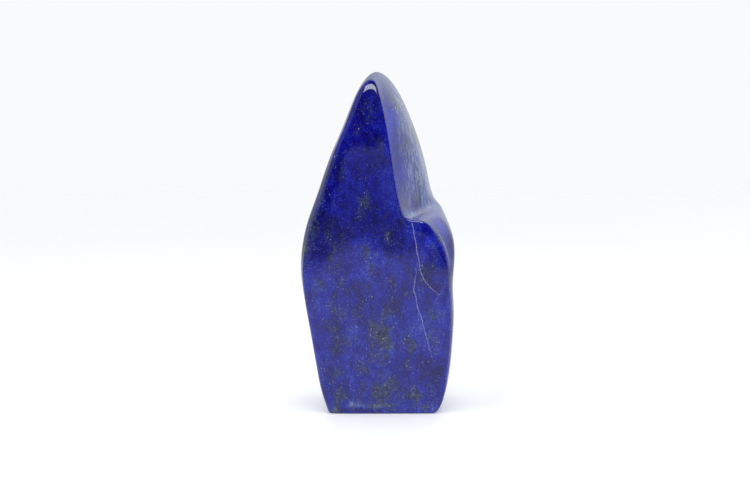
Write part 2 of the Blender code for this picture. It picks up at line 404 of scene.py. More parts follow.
PALE_AND_PAINTED_LIGHT_PLACES = [  # centre (x, y, z) and reach (x, y, z) in mm, strength; a negative one is deep blue
    # Painted light: the flank is made paler, as if lit from the right behind.
    (14.0, 5.0, 84.0, 5.0, 9.0, 16.0, 0.8),
    # Painted reflection: the top of the shoulder is made paler where it mirrors the pale room behind.
    (16.0, 2.0, 66.0, 4.0, 9.0, 6.0, 1.3),
    # Painted highlight along the lip of the step.
    (10.0, -12.5, 61.8, 3.5, 2.6, 1.3, 1.5),
    (11.5, -16.0, 51.5, 3.0, 5.0, 4.0, -0.7),
    (0.0, -16.0, 42.0, 18.0, 6.0, 9.0, -0.5),
    (11.9, -16.0, 26.7, 2.6, 5.0, 4.0, 0.7),
    (-15.6, -16.0, 42.2, 2.2, 5.0, 3.2, 0.8),
    (-6.0, -16.0, 25.0, 3.6, 5.0, 3.0, 0.7),
    (-3.4, -16.0, 44.0, 2.4, 5.0, 3.4, 0.7),
    (0.5, -16.0, 33.5, 3.0, 5.0, 3.0, -0.8),
    (14.0, -16.0, 14.0, 3.0, 5.0, 5.0, -0.6),
    (-2.7, -16.0, 2.6, 5.4, 4.0, 0.6, 2.0),
    (-7.6, -16.0, 3.3, 1.8, 4.0, 1.2, 1.6),
    (16.0, -15.0, 1.8, 2.2, 4.0, 1.2, 0.9),
    (0.0, -16.0, 84.0, 5.0, 6.0, 6.0, -0.6),
    (-10.0, -16.0, 60.0, 5.0, 6.0, 3.0, -0.5),
    (7.5, -16.0, 45.0, 3.5, 6.0, 2.5, 0.5),
    (-4.0, -16.0, 36.0, 4.0, 6.0, 3.0, 0.4),
    (15.0, -14.0, 56.5, 5.0, 4.0, 2.0, -0.6),
    (16.8, -16.0, 53.4, 2.6, 5.0, 1.8, 1.4),
    (-21.0, -14.0, 46.0, 3.0, 5.0, 7.0, 0.7),
    (-17.0, -16.0, 58.5, 5.0, 6.0, 6.0, -1.7),
]
# Streaks of calcite along the flank and a pale line along the base, but also painted light: painted
# reflections on the shoulder and the rim of the tip, and painted highlights on the lip and the lower left
# corner.
STREAK_AND_SHEEN_PLACES = [  # the same, for the streaks of calcite along the flank
    (10.0, 0.0, 86.0, 8.0, 14.0, 16.0, 1.2),
    (14.0, 0.0, 72.0, 8.0, 14.0, 9.0, 1.2),
    (6.5, -4.0, 97.0, 4.0, 8.0, 6.0, 0.8),
    # Painted reflection on the top of the shoulder.
    (16.0, 4.0, 64.5, 4.0, 10.0, 2.2, 0.7),
    # Painted highlight along the lip of the step.
    (10.0, -12.5, 61.8, 3.5, 2.6, 1.3, 1.3),
    (17.0, -16.0, 53.5, 2.6, 4.0, 2.6, 0.45),
    (-2.7, -16.0, 2.6, 5.0, 4.0, 0.7, 1.2),
    (-7.6, -16.0, 3.3, 1.8, 4.0, 1.4, 1.0),
    # Painted highlight: the glint on the lower left corner.
    (-13.6, -15.5, 1.0, 0.9, 3.0, 0.9, 1.5),
    (16.0, -15.5, 1.8, 2.2, 3.0, 1.2, 0.5),
    # Painted reflection: the rim of the tip is made paler where it mirrors the pale room behind.
    (-0.5, 2.0, 105.0, 5.0, 6.0, 2.0, 0.8),
]
PURE_PLACES = [  # the same, for places of almost pure lazurite, the blue mineral
    (3.4, -12.0, 88.5, 2.2, 6.0, 8.5, 1.0),
    (5.6, -13.0, 72.0, 2.0, 3.0, 9.0, 0.8),
    (18.5, -8.0, 57.0, 5.0, 9.0, 4.5, 0.9),
    (16.5, -16.0, 53.8, 3.6, 4.0, 3.2, 0.6),
    (-13.5, -14.0, 64.0, 2.0, 4.0, 6.0, 0.4),
]


def mark_strength(places, marks):
    """The sum of strength * exp(-d^2) over the marks, where d is the distance from a mark's centre
    counted in its reaches."""
    marks = np.array(marks)
    distance = (places[:, None] - marks[:, :3]) / marks[:, 3:6]
    return (marks[:, 6] * np.exp(-(distance**2).sum(axis=2))).sum(axis=1)


patch_marks = [(x, FRONT_FACE_Y, z, wide, PATCH_DEPTH, tall, share) for x, z, wide, tall, share in PATCHES]
marks = {
    "patches": mark_strength(stone_places, patch_marks),
    "paleness_and_painted_light": mark_strength(stone_places, PALE_AND_PAINTED_LIGHT_PLACES),
    "streaks_and_sheen": mark_strength(stone_places, STREAK_AND_SHEEN_PLACES),
    "pure_blue": mark_strength(stone_places, PURE_PLACES),
}
for name, strength in marks.items():
    print(name, "shows on this share of the stone:", (strength > 0.3).mean().round(3))

# %% [markdown]
# The crack is a thin sheet that goes into the stone from the front face. Seen from the front it is a line
# x(z), so each vertex stores how far it lies to the right of that line. Inside a triangle such a number is
# exact where the line is straight, so the material can draw a line far thinner than the mesh. The reach of
# the line, from its upper to its lower end, is stored beside it.

# %% The crack
CRACK_LINES = {  # points (z, x) from the lower to the upper end, in mm
    "main": [
        (37.6, 18.6), (39.7, 16.1), (41.9, 14.3), (44.4, 13.0), (47.5, 12.6), (51.3, 11.8),
        (55.9, 11.1), (60.5, 10.2),
    ],
    "left": [
        (15.4, 17.4), (18.4, 16.5), (21.6, 15.6), (26.3, 14.3), (30.0, 13.4), (32.6, 12.4),
        (35.7, 11.8), (38.8, 10.9), (43.5, 11.4), (48.5, 12.4),
    ],
    "faint": [(33.5, 16.5), (40.6, 20.6)],
}
# How far each line takes to fade out at its lower and its upper end, in mm.
CRACK_FADES = {"main": (1.5, 1.0), "left": (10.0, 8.0), "faint": (2.0, 2.0)}
CRACK_DEPTH = 9.0


def line_offset(places, line):
    """x minus the x of the line at the same height."""
    z, x = np.array(line).T
    return places[:, 0] - np.interp(places[:, 2], z, x)


def line_reach(places, line, fades):
    """1 along the line, fading out towards both of its ends and where the crack ends inside the stone."""
    z = np.array(line)[:, 0]
    above = np.clip((places[:, 2] - z.min()) / fades[0], 0.0, 1.0)
    below = np.clip((z.max() - places[:, 2]) / fades[1], 0.0, 1.0)
    near = np.clip(FRONT_FACE_Y + CRACK_DEPTH - places[:, 1], 0.0, 1.0)
    return above * below * near


crack_offsets = as_points(*[line_offset(stone_places, line) for line in CRACK_LINES.values()])
crack_reaches = as_points(
    *[line_reach(stone_places, line, CRACK_FADES[name]) for name, line in CRACK_LINES.items()]
)
print("vertices within 1 mm of the main crack:", int((np.abs(crack_offsets[:, 0]) < 1.0).sum()))

# %% Store the marks on the mesh


def store(mesh, name, kind, field, values):
    """One number or one vector for every vertex, under a name that the material can read."""
    layer = mesh.attributes.new(name, kind, "POINT")
    layer.data.foreach_set(field, np.asarray(values, np.float32).ravel())


for name, strength in marks.items():
    store(stone_mesh, name, "FLOAT", "value", strength)
store(stone_mesh, "crack_offsets", "FLOAT_VECTOR", "vector", crack_offsets)
store(stone_mesh, "crack_reaches", "FLOAT_VECTOR", "vector", crack_reaches)
print("attributes:", [layer.name for layer in stone_mesh.attributes if not layer.name.startswith(".")])

# %% [markdown]
# ## Tools for materials
#
# Colours are written as sRGB hex values, as a colour picker shows them, and one function turns them to the
# linear values that the shader works with. A second one adds a node with its settings and its links, so
# that a material reads as a list of steps. A third one places the stops of a colour ramp.

# %% Tools for materials


def linear(hex_colour):
    """The linear RGBA of an sRGB hex colour: c / 12.92 below 0.04045, else ((c + 0.055) / 1.055)^2.4."""
    srgb = np.array([int(hex_colour[i : i + 2], 16) for i in (1, 3, 5)]) / 255
    return (*np.where(srgb <= 0.04045, srgb / 12.92, ((srgb + 0.055) / 1.055) ** 2.4), 1.0)


def add(tree, kind, sockets, **settings):
    """Adds a node. A setting is a property of the node. A socket, named or counted, gets a value, or a link
    from another node: from its first output, unless the output itself is given."""
    node = tree.nodes.new(kind)
    for name, value in settings.items():
        setattr(node, name, value)
    for key, value in sockets.items():
        if isinstance(value, bpy.types.Node):
            value = value.outputs[0]
        if isinstance(value, bpy.types.NodeSocket):
            tree.links.new(value, node.inputs[key])
        else:
            node.inputs[key].default_value = value
    return node


def set_stops(ramp, stops):
    """Gives a colour ramp its stops, as pairs of a position and a linear colour. It has two already."""
    for step, (position, colour) in enumerate(stops):
        stop = ramp.elements[step] if step < 2 else ramp.elements.new(position)
        stop.position = position
        stop.color = colour


def new_material(name):
    """An empty material with its shader and its tree of nodes."""
    material = bpy.data.materials.new(name)
    material.use_nodes = True
    return material, material.node_tree.nodes["Principled BSDF"], material.node_tree


print("ultramarine #1A1478 in linear:", np.round(linear("#1A1478"), 4))

# %% [markdown]
# ## Lapis lazuli
#
# Lapis lazuli isn't one mineral but a rock. Its blue is lazurite, in grains from a tenth to a millimetre.
# White calcite clouds it to a paler blue, diopside and mica gather in dull grey-green patches, and pyrite
# lies in it as tiny grains of brass. Ground and then polished with fine oxide on felt, it gets a gloss like
# wax or glass (index about 1.5), a little duller over the softer patches.
#
# The pattern goes through the whole stone, so it is made of noises in space, in Object coordinates.

# %% Coordinates in millimetres
PER_METRE = 1 / MM
lapis, lapis_shader, tree = new_material("polished lapis lazuli")
coordinates = add(tree, "ShaderNodeTexCoord", {})
place = add(
    tree,
    "ShaderNodeMapping",
    {"Vector": coordinates.outputs["Object"], "Scale": (PER_METRE, PER_METRE, PER_METRE)},
)
# A slow noise bends the pattern by up to 2.4 mm. The bedding of the rock stands upright here, so most
# blots are longer than they are wide.
bend = add(tree, "ShaderNodeTexNoise", {"Vector": place, "Scale": 1 / 4.0, "Detail": 2.0})
bent_place = add(
    tree,
    "ShaderNodeVectorMath",
    {0: bend.outputs["Color"], 1: (2.4, 2.4, 2.4), 2: place},
    operation="MULTIPLY_ADD",
)
bedding = add(tree, "ShaderNodeMapping", {"Vector": bent_place, "Scale": (1, 1, 0.5)})
print("coordinate nodes:", len(tree.nodes))

# %% [markdown]
# The blue comes first. Three noises of different sizes mix a deep, a middle and a pale blue: clouds of
# 6 mm, blots of 2 mm and single grains. The sum rises slowly towards the base, so the lower end is paler:
# partly more calcite, partly a painted reflection of the bright paper in front of it. It also rises or
# falls at the stored places, which hold pale and deep blue and some painted light. Where the rock is
# almost pure lazurite, a brighter royal blue is laid over it.

# %% Blue
clouds = add(
    tree, "ShaderNodeTexNoise", {"Vector": bedding, "Scale": 1 / 6.0, "Detail": 4.0, "Roughness": 0.6}
)
blots = add(
    tree, "ShaderNodeTexNoise", {"Vector": bedding, "Scale": 1 / 1.8, "Detail": 3.0, "Roughness": 0.6}
)
grains = add(
    tree, "ShaderNodeTexNoise", {"Vector": place, "Scale": 1 / 0.45, "Detail": 2.0, "Roughness": 0.8}
)
stored_paleness_and_painted_light = add(tree, "ShaderNodeAttribute", {}, attribute_name="paleness_and_painted_light")
place_parts = add(tree, "ShaderNodeSeparateXYZ", {"Vector": place})
# Paler towards the base: partly more calcite, partly a painted reflection of the bright paper.
mixture = add(  # rises towards the base
    tree,
    "ShaderNodeMapRange",
    {
        "Value": place_parts.outputs["Z"],
        "From Min": 10.0,
        "From Max": 85.0,
        "To Min": -0.29,
        "To Max": -0.37,
    },
)
SHARES = [(1.0, clouds), (0.6, blots), (1.0, grains), (0.2, stored_paleness_and_painted_light.outputs["Fac"])]
for share, part in SHARES:
    mixture = add(tree, "ShaderNodeMath", {0: part, 1: share, 2: mixture}, operation="MULTIPLY_ADD")
BLUES = [
    (0.76, "#08074E"),
    (0.89, "#0D0B70"),
    (1.00, "#101382"),
    (1.10, "#172090"),
    (1.22, "#263496"),
    (1.40, "#4150A4"),
]
# The ramp reads 0 to 1, so the sum of the noises, which is about 1, is halved first.
halved = add(tree, "ShaderNodeMath", {0: mixture, 1: 0.5}, operation="MULTIPLY")
blue = add(tree, "ShaderNodeValToRGB", {"Fac": halved})
set_stops(blue.color_ramp, [(at / 2, linear(colour)) for at, colour in BLUES])
stored_pure = add(tree, "ShaderNodeAttribute", {}, attribute_name="pure_blue")
pure_blots = add(tree, "ShaderNodeMath", {0: blots, 1: 1.6, 2: -0.8}, operation="MULTIPLY_ADD")
pure_mask = add(tree, "ShaderNodeMath", {0: pure_blots, 1: stored_pure.outputs["Fac"]}, operation="ADD")
pure_cover = add(
    tree,
    "ShaderNodeMath",
    {0: pure_mask, 1: stored_pure.outputs["Fac"]},
    operation="MULTIPLY",
    use_clamp=True,
)
pure_blue = add(tree, "ShaderNodeMix", {0: pure_cover, 6: blue, 7: linear("#1822B4")}, data_type="RGBA")
print("blues:", len(BLUES))

# %% [markdown]
# The dull patches come next. Where the stored patches or a slow noise are strong, more of the grains are
# slate-grey or olive, so a patch is a cloud of specks rather than a stain. The upper half of the stone has
# fewer of them, apart from the streaked flank.

# %% Grey-green patches in the material
stored_patches = add(tree, "ShaderNodeAttribute", {}, attribute_name="patches")
wild_patches = add(
    tree, "ShaderNodeTexNoise", {"Vector": bedding, "Scale": 1 / 5.0, "Detail": 3.0, "Roughness": 0.65}
)
wild_strength = add(
    tree,
    "ShaderNodeMapRange",
    {"Value": wild_patches, "From Min": 0.44, "From Max": 0.70, "To Max": 0.9},
    interpolation_type="SMOOTHSTEP",
)
fewer_upwards = add(
    tree,
    "ShaderNodeMapRange",
    {"Value": place_parts.outputs["Z"], "From Min": 45.0, "From Max": 78.0, "To Min": 1.0, "To Max": 0.2},
)
stored_streaks_and_sheen = add(tree, "ShaderNodeAttribute", {}, attribute_name="streaks_and_sheen")
richness = add(tree, "ShaderNodeMath", {0: fewer_upwards, 1: stored_streaks_and_sheen.outputs["Fac"]}, operation="ADD")
patch_sum = add(
    tree,
    "ShaderNodeMath",
    {0: wild_strength, 1: richness, 2: stored_patches.outputs["Fac"]},
    operation="MULTIPLY_ADD",
)
patch_grains = add(
    tree, "ShaderNodeTexNoise", {"Vector": bedding, "Scale": 1 / 1.2, "Detail": 4.0, "Roughness": 0.8}
)
patch_grainy = add(tree, "ShaderNodeMath", {0: patch_grains, 1: 3.0, 2: -1.9}, operation="MULTIPLY_ADD")
patch_total = add(tree, "ShaderNodeMath", {0: patch_sum, 1: patch_grainy}, operation="ADD")
patch_mask = add(
    tree,
    "ShaderNodeMapRange",
    {"Value": patch_total, "From Min": -0.3, "From Max": 1.0},
    interpolation_type="SMOOTHSTEP",
)
patch_shade = add(tree, "ShaderNodeTexNoise", {"Vector": place, "Scale": 1 / 0.9, "Detail": 2.0})
patch_tone = add(tree, "ShaderNodeMapRange", {"Value": patch_shade, "From Min": 0.35, "From Max": 0.65})
patch_colour = add(
    tree, "ShaderNodeMix", {0: patch_tone, 6: linear("#121838"), 7: linear("#3A4450")}, data_type="RGBA"
)
patch_cover = add(tree, "ShaderNodeMath", {0: patch_mask, 1: 0.9}, operation="MULTIPLY")
patched = add(
    tree,
    "ShaderNodeMix",
    {0: patch_cover, 6: pure_blue.outputs[2], 7: patch_colour.outputs[2]},
    data_type="RGBA",
)
print("nodes with the patches:", len(tree.nodes))

# %% [markdown]
# The flank cuts through a band of the rock that is rich in calcite. It lies there in thin upright streaks,
# so a noise is stretched upwards and mixed in only where the stored streaks and sheen are high, and never
# over the pure blue. The same pale mix paints the highlights on the lip of the step and the lower left
# corner, the painted reflections on the shoulder and the rim of the tip, and a pale line along the base.

# %% Calcite streaks and painted sheen
upright = add(tree, "ShaderNodeMapping", {"Vector": bent_place, "Scale": (1, 1, 0.25)})
streaks = add(
    tree, "ShaderNodeTexNoise", {"Vector": upright, "Scale": 1 / 1.3, "Detail": 5.0, "Roughness": 0.85}
)
streak_grains = add(
    tree, "ShaderNodeMapRange", {"Value": streaks, "From Min": 0.45, "From Max": 0.68, "To Max": 0.74}
)
streak_and_sheen_mask = add(
    tree,
    "ShaderNodeMath",
    {0: streak_grains, 1: stored_streaks_and_sheen.outputs["Fac"]},
    operation="MULTIPLY",
    use_clamp=True,
)
streak_and_sheen_cover = add(
    tree, "ShaderNodeMath", {0: streak_and_sheen_mask, 1: pure_cover}, operation="SUBTRACT", use_clamp=True
)
# One pale colour for the calcite streaks and for the painted highlights and reflections.
streaked_and_sheened = add(
    tree, "ShaderNodeMix", {0: streak_and_sheen_cover, 6: patched.outputs[2], 7: linear("#8597AE")}, data_type="RGBA"
)
print("nodes with the streaks:", len(tree.nodes))

# %% [markdown]
# Calcite shows as pale flecks, one to three tenths of a millimetre wide, and pyrite as grains of brass of
# the same size. Both are spots of a Voronoi pattern: each of its cells has a random colour, and only the
# cells whose random number is high get a spot. Fine pale dust lies between them. Flecks and pyrite gather
# in the dull patches. At the scale of the picture a grain of 0.1 mm would vanish, so the smallest are drawn
# at about 0.25 mm.

# %% Calcite flecks and pyrite grains


def spots(cell_size, threshold, radius, edge, strength, richness):
    """A mask of round spots: in cells that draw a number above the threshold, a spot whose radius grows with
    that number. All sizes are shares of the cell, which is given in mm. The richness is a node, and the
    mask is multiplied with its value."""
    cells = add(tree, "ShaderNodeTexVoronoi", {"Vector": bent_place, "Scale": 1 / cell_size})
    numbers = add(tree, "ShaderNodeSeparateColor", {"Color": cells.outputs["Color"]})
    size = add(
        tree,
        "ShaderNodeMapRange",
        {"Value": numbers.outputs["Red"], "From Min": threshold, "From Max": 1.0, "To Max": radius},
    )
    inside = add(tree, "ShaderNodeMath", {0: size, 1: cells.outputs["Distance"]}, operation="SUBTRACT")
    mask = add(tree, "ShaderNodeMapRange", {"Value": inside, "From Max": edge, "To Max": strength})
    return add(tree, "ShaderNodeMath", {0: mask, 1: richness}, operation="MULTIPLY", use_clamp=True)


# How many spots of each sort a place gets.
clusters = add(
    tree, "ShaderNodeMapRange", {"Value": patch_sum, "From Max": 0.6, "To Min": 0.15, "To Max": 1.4}
)
pyrite_richness = add(tree, "ShaderNodeMath", {0: patch_mask, 1: 1.5, 2: 0.4}, operation="MULTIPLY_ADD")
dust_richness = add(
    tree,
    "ShaderNodeMath",
    {0: stored_pure.outputs["Fac"], 1: 1.5, 2: fewer_upwards},
    operation="MULTIPLY_ADD",
)
fleck_richness = add(
    tree, "ShaderNodeMath", {0: stored_streaks_and_sheen.outputs["Fac"], 1: 0.8, 2: clusters}, operation="MULTIPLY_ADD"
)
SPOTS = [  # cell size in mm, threshold, radius, edge, strength, how many, colour
    (0.50, 0.45, 0.42, 0.20, 0.60, dust_richness, "#4F5FB0"),
    (0.80, 0.48, 0.28, 0.12, 0.60, fleck_richness, "#8794CC"),
    (0.60, 0.55, 0.28, 0.14, 0.50, pyrite_richness, "#CCC8B4"),
]
speckled = streaked_and_sheened
for cell_size, threshold, radius, edge, strength, many, colour in SPOTS:
    spot_mask = spots(cell_size, threshold, radius, edge, strength, many)
    speckled = add(
        tree, "ShaderNodeMix", {0: spot_mask, 6: speckled.outputs[2], 7: linear(colour)}, data_type="RGBA"
    )
pyrite_mask = spot_mask  # the last of the three
print("nodes with the flecks:", len(tree.nodes))

# %% [markdown]
# The crack is drawn from its stored offset: where the offset is near zero the stone is pale, because the
# broken edges scatter light. A fine noise shifts the line by a tenth of a millimetre, so that it frays.

# %% The crack in the material
CRACK_WIDTHS = (0.15, 0.13, 0.12)  # in mm, of the main, the left and the faint line
CRACK_STRENGTHS = (0.7, 0.7, 0.3)
offsets = add(tree, "ShaderNodeAttribute", {}, attribute_name="crack_offsets")
reaches = add(tree, "ShaderNodeAttribute", {}, attribute_name="crack_reaches")
fray = add(tree, "ShaderNodeTexNoise", {"Vector": place, "Scale": 1 / 0.9, "Detail": 4.0, "Roughness": 0.8})
fray_shift = add(tree, "ShaderNodeMath", {0: fray, 1: 1.4, 2: -0.7}, operation="MULTIPLY_ADD")
offset_parts = add(tree, "ShaderNodeSeparateXYZ", {"Vector": offsets.outputs["Vector"]})
reach_parts = add(tree, "ShaderNodeSeparateXYZ", {"Vector": reaches.outputs["Vector"]})
cracked = speckled
for part, width, strength in zip("XYZ", CRACK_WIDTHS, CRACK_STRENGTHS):
    shifted = add(tree, "ShaderNodeMath", {0: offset_parts.outputs[part], 1: fray_shift}, operation="ADD")
    distance = add(tree, "ShaderNodeMath", {0: shifted}, operation="ABSOLUTE")
    line = add(
        tree,
        "ShaderNodeMapRange",
        {"Value": distance, "From Min": width, "From Max": width * 0.3, "To Max": strength},
    )
    crack_mask = add(tree, "ShaderNodeMath", {0: line, 1: reach_parts.outputs[part]}, operation="MULTIPLY")
    cracked = add(
        tree, "ShaderNodeMix", {0: crack_mask, 6: cracked.outputs[2], 7: linear("#9396B4")}, data_type="RGBA"
    )
print("crack lines:", len(CRACK_WIDTHS))

# %% [markdown]
# The shader takes the colour, and the polish: almost a mirror on the blue, duller over the patches, which
# are softer and take less polish. Only the grains of pyrite are metal. A slight bump gives fine
# scratches and the pits where soft grains tore out.

# %% The polish
roughness = add(tree, "ShaderNodeMapRange", {"Value": patch_mask, "To Min": 0.07, "To Max": 0.20})
pits = add(tree, "ShaderNodeTexNoise", {"Vector": place, "Scale": 1 / 1.6, "Detail": 4.0, "Roughness": 0.6})
bump = add(tree, "ShaderNodeBump", {"Height": pits, "Strength": 0.25, "Distance": 0.00004})
lapis_shader.inputs["IOR"].default_value = 1.5
tree.links.new(cracked.outputs[2], lapis_shader.inputs["Base Color"])
tree.links.new(roughness.outputs["Result"], lapis_shader.inputs["Roughness"])
tree.links.new(pyrite_mask.outputs["Value"], lapis_shader.inputs["Metallic"])
tree.links.new(bump.outputs["Normal"], lapis_shader.inputs["Normal"])
stone_mesh.materials.append(lapis)
print("lapis nodes:", len(tree.nodes))

# %% [markdown]
# ## The studio
#
# The photograph was taken on white paper in soft light that comes from everywhere. So the world is a pale
# dome, and the floor is a round sheet of white paper that fades into it behind the stone.
#
# A lamp for each soft sheen would light the paper too. Instead the dome looks different to mirror rays: it
# gets brighter towards one side behind the stone, like a room with its window there, and brighter upwards
# on that side. The flank mirrors the window, and the tip and the step mirror the light above.

# %% The pale dome
WINDOW_SIDE = np.array([0.74, 0.61, 0.28])  # the way to the window, behind the stone on its right
WINDOW_REACH = 0.74  # the angle round that way, in radians, over which the window fades out
WINDOW_STRENGTH = 2.45
ROOM_STRENGTH = 0.74
SKYLIGHT_STRENGTH = 0.9
world = bpy.data.worlds.new("pale studio")
bpy.context.scene.world = world
world.use_nodes = True
dome_tree = world.node_tree
dome = dome_tree.nodes["Background"]
dome_way = add(dome_tree, "ShaderNodeTexCoord", {})
# The product of two unit vectors is the cosine of the angle between them.
window_cosine = add(
    dome_tree,
    "ShaderNodeVectorMath",
    {0: dome_way.outputs["Generated"], 1: WINDOW_SIDE / np.linalg.norm(WINDOW_SIDE)},
    operation="DOT_PRODUCT",
)
window_angle = add(dome_tree, "ShaderNodeMath", {0: window_cosine.outputs["Value"]}, operation="ARCCOSINE")
dome_strength = add(
    dome_tree,
    "ShaderNodeMapRange",
    {"Value": window_angle, "From Max": WINDOW_REACH, "To Min": WINDOW_STRENGTH, "To Max": ROOM_STRENGTH},
)
dome_parts = add(dome_tree, "ShaderNodeSeparateXYZ", {"Vector": dome_way.outputs["Generated"]})
skylight = add(
    dome_tree,
    "ShaderNodeMapRange",
    {"Value": dome_parts.outputs["Z"], "From Min": 0.25, "From Max": 0.65, "To Max": SKYLIGHT_STRENGTH},
    interpolation_type="SMOOTHSTEP",
)
skylight_side = add(
    dome_tree,
    "ShaderNodeMapRange",
    {"Value": dome_parts.outputs["X"], "From Min": -0.35, "From Max": 0.0, "To Max": skylight},
)
mirrored_strength = add(dome_tree, "ShaderNodeMath", {0: dome_strength, 1: skylight_side}, operation="ADD")
ray = add(dome_tree, "ShaderNodeLightPath", {})
seen_strength = add(
    dome_tree, "ShaderNodeMix", {0: ray.outputs["Is Glossy Ray"], 2: 1.0, 3: mirrored_strength}
)
# Daylight through glass is faintly green, and only mirror images show it.
seen_colour = add(
    dome_tree,
    "ShaderNodeMix",
    {0: ray.outputs["Is Glossy Ray"], 6: linear("#F9FAFC"), 7: linear("#F2F9F6")},
    data_type="RGBA",
)
dome_tree.links.new(seen_strength.outputs[0], dome.inputs["Strength"])
dome_tree.links.new(seen_colour.outputs[2], dome.inputs["Color"])
print("dome nodes:", len(dome_tree.nodes))

# %% [markdown]
# The paper could be one large square, but its edge would show as a horizon. So it is a disc that thins out
# towards its rim. The photograph is exposed so brightly that the paper is white and nearly without shadow
# near the stone, so it also glows a little there.

# %% The paper
FLOOR_RADIUS = 900.0


def disc(name, radius, height, rings=48, sectors=96):
    """A flat round sheet: points radius * share * (cos, sin) on a grid of shares and angles."""
    share, angle = np.meshgrid(np.linspace(0, 1, rings + 1)[1:], np.arange(sectors) * 2 * np.pi / sectors)
    points = as_points(radius * share * np.cos(angle), radius * share * np.sin(angle), height)
    index = np.arange(rings * sectors).reshape(sectors, rings)
    after = np.roll(index, -1, axis=0)
    quads = np.stack([index[:, :-1], index[:, 1:], after[:, 1:], after[:, :-1]], axis=-1).reshape(-1, 4)
    middle = rings * sectors
    fan = np.stack([np.full(sectors, middle), index[:, 0], after[:, 0]], axis=-1)
    places = np.concatenate([points.reshape(-1, 3), [[0.0, 0.0, height]]])
    mesh = bpy.data.meshes.new(name)
    mesh.from_pydata(places * MM, [], quads.tolist() + fan.tolist())
    return mesh


paper, paper_shader, paper_tree = new_material("matt white paper")
paper_shader.inputs["Base Color"].default_value = linear("#F9FAFB")
paper_shader.inputs["Roughness"].default_value = 0.45
paper_shader.inputs["Specular IOR Level"].default_value = 0.3
paper_place = add(paper_tree, "ShaderNodeTexCoord", {})
paper_distance = add(
    paper_tree, "ShaderNodeVectorMath", {0: paper_place.outputs["Object"]}, operation="LENGTH"
)
paper_fade = add(
    paper_tree,
    "ShaderNodeMapRange",
    {"Value": paper_distance.outputs["Value"], "From Min": 0.86, "From Max": 0.40},
    interpolation_type="SMOOTHSTEP",
)
paper_tree.links.new(paper_fade.outputs["Result"], paper_shader.inputs["Alpha"])
paper_glow = add(
    paper_tree,
    "ShaderNodeMapRange",
    {"Value": paper_distance.outputs["Value"], "From Min": 0.45, "From Max": 0.10, "To Max": 0.14},
    interpolation_type="SMOOTHSTEP",
)
paper_shader.inputs["Emission Color"].default_value = linear("#FFFFFF")
paper_tree.links.new(paper_glow.outputs["Result"], paper_shader.inputs["Emission Strength"])
floor = put("paper_floor", disc("paper", FLOOR_RADIUS, 0.0))
floor.data.materials.append(paper)
print("paper:", len(floor.data.polygons), "faces")

# %% [markdown]
# A polished stone shows what stands around it. In the photograph the upper part of the front is deep blue,
# because it mirrors the dark room behind the camera, and below it the white table is mirrored as a thin
# veil. A black flag, a cloth on a frame as photographers use, takes the part of the room here. Only mirror
# rays see it: it casts no shadow, and the camera looks through it. Its lowest 10 cm are a net, and the veil
# is the light that comes through. The net is thinnest just under the cloth, where the veil is brightest.

# %% The shape of the black flag
FLAG_DISTANCE = 370.0  # in front of the stone, in mm, as the next four are
FLAG_WALL = 700.0  # height of its upright part
FLAG_BEND = 500.0  # radius of the bend above it
FLAG_ROOF = 150.0  # length of its level part
FLAG_HALF_WIDTH = 1500.0


def flag_sheet(name):
    """A sheet that rises straight up and then bends over backwards above the stone: the points are
    (x, y(s), z(s)), where s runs up the sheet, and a quarter circle joins the wall to the roof."""
    wall = np.linspace(0.0, FLAG_WALL, 15)
    turn = np.linspace(0.0, np.pi / 2, 13)[1:]
    y = np.concatenate([wall * 0.0, FLAG_BEND * (1 - np.cos(turn)), [FLAG_BEND + FLAG_ROOF]])
    z = np.concatenate([wall, FLAG_WALL + FLAG_BEND * np.sin(turn), [FLAG_WALL + FLAG_BEND]])
    x = np.linspace(-FLAG_HALF_WIDTH, FLAG_HALF_WIDTH, 9)
    points = as_points(x[:, None], y[None, :] - FLAG_DISTANCE, z[None, :])
    index = np.arange(points.shape[0] * points.shape[1]).reshape(points.shape[:2])
    corners = [index[:-1, :-1], index[1:, :-1], index[1:, 1:], index[:-1, 1:]]
    mesh = bpy.data.meshes.new(name)
    mesh.from_pydata(points.reshape(-1, 3) * MM, [], np.stack(corners, axis=-1).reshape(-1, 4).tolist())
    return mesh


flag = put("black_flag", flag_sheet("flag"))
flag.visible_camera = False
flag.visible_diffuse = False
flag.visible_transmission = False
flag.visible_shadow = False
print("flag:", len(flag.data.polygons), "faces")

# %% The cloth and its net
NET = [  # height above the hem as a share of 100 mm, and how dense the cloth is there
    (0.00, 0.30),
    (0.06, 0.70),
    (0.30, 0.71),
    (0.55, 0.60),
    (0.80, 0.35),
    (0.88, 0.16),
    (1.00, 1.00),
]
cloth, cloth_shader, cloth_tree = new_material("black flag cloth")
cloth_shader.inputs["Base Color"].default_value = linear("#050505")
cloth_shader.inputs["Roughness"].default_value = 1.0
cloth_shader.inputs["Specular IOR Level"].default_value = 0.0
cloth_place = add(cloth_tree, "ShaderNodeTexCoord", {})
cloth_height = add(cloth_tree, "ShaderNodeSeparateXYZ", {"Vector": cloth_place.outputs["Object"]})
# The hem rises to the left, by 12 mm in 100.
hem = add(
    cloth_tree,
    "ShaderNodeMath",
    {0: cloth_height.outputs["X"], 1: 0.12, 2: cloth_height.outputs["Z"]},
    operation="MULTIPLY_ADD",
)
net_height = add(cloth_tree, "ShaderNodeMath", {0: hem, 1: 10.0}, operation="MULTIPLY")
net_density = add(cloth_tree, "ShaderNodeValToRGB", {"Fac": net_height})
set_stops(net_density.color_ramp, [(height, (dense, dense, dense, 1.0)) for height, dense in NET])
